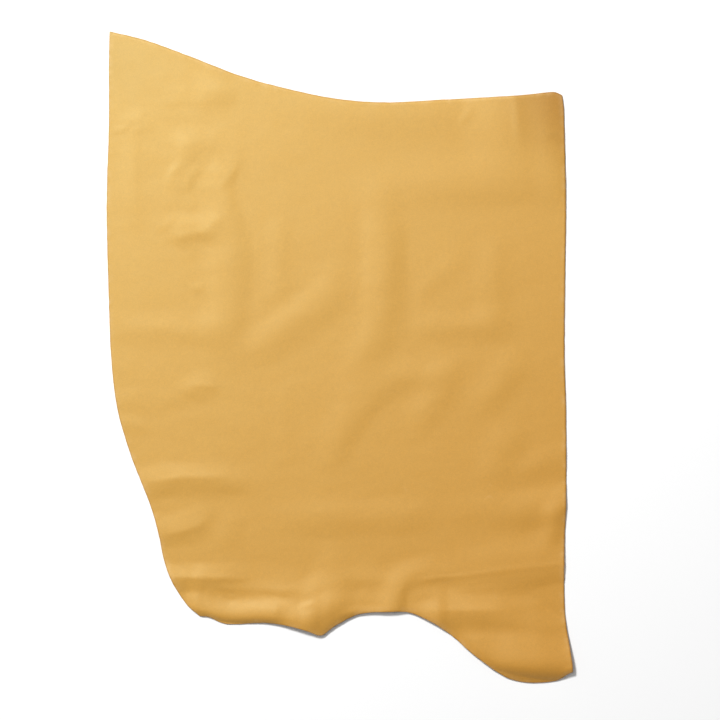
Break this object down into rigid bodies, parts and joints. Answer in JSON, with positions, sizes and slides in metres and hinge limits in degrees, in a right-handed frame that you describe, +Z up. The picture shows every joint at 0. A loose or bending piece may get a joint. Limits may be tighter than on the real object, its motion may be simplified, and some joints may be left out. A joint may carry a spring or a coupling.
{
  "type": "leather hide",
  "caption": "Whole leather hide laid flat with the smooth grain side up, trimmed square on its long sides, with a shaped lower edge and soft folds.",
  "frame": {"origin": "middle of the hide's outline, on the surface that it lies on", "axes": "+Z up through the grain side, +Y along the hide's length towards its straight end, +X across its width"},
  "size_m": [0.636, 0.888, 0.0156],
  "materials": {
    "leather": "smooth satin grain, tan, vegetable tanned look"
  },
  "bodies": {
    "root": {"hide": "leather"}
  },
  "joints": []
}
